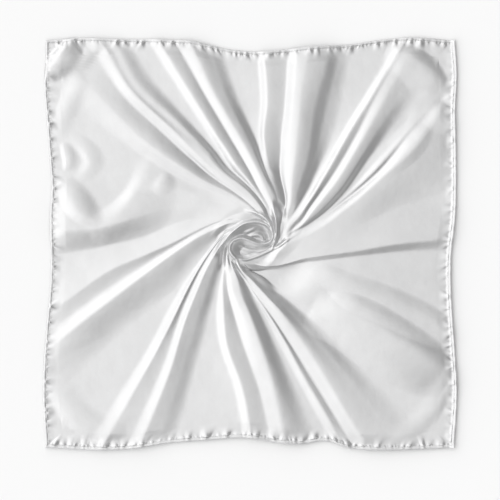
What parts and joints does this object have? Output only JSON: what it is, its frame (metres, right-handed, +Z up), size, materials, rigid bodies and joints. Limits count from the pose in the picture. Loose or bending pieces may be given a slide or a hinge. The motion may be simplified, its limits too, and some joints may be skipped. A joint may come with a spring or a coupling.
{
  "type": "square satin scarf",
  "caption": "Square satin scarf laid flat, its middle twirled into a small rosette with soft folds running out to narrow turned hems.",
  "frame": {"origin": "middle of the laid scarf, on the surface that it lies on", "axes": "+X towards the scarf's right side and +Y towards its far side as seen from above, +Z up"},
  "size_m": [0.5942, 0.5915, 0.0163],
  "materials": {
    "satin": "white satin weave, soft silvery gloss",
    "hem_satin": "the same satin turned twice and stitched",
    "thread": "white sewing thread"
  },
  "bodies": {
    "root": {"panel": "satin", "hem_north": "hem_satin", "hem_east": "hem_satin", "hem_south": "hem_satin", "hem_west": "hem_satin", "twirl_core": "satin", "twirl_crest": "satin"}
  },
  "joints": []
}
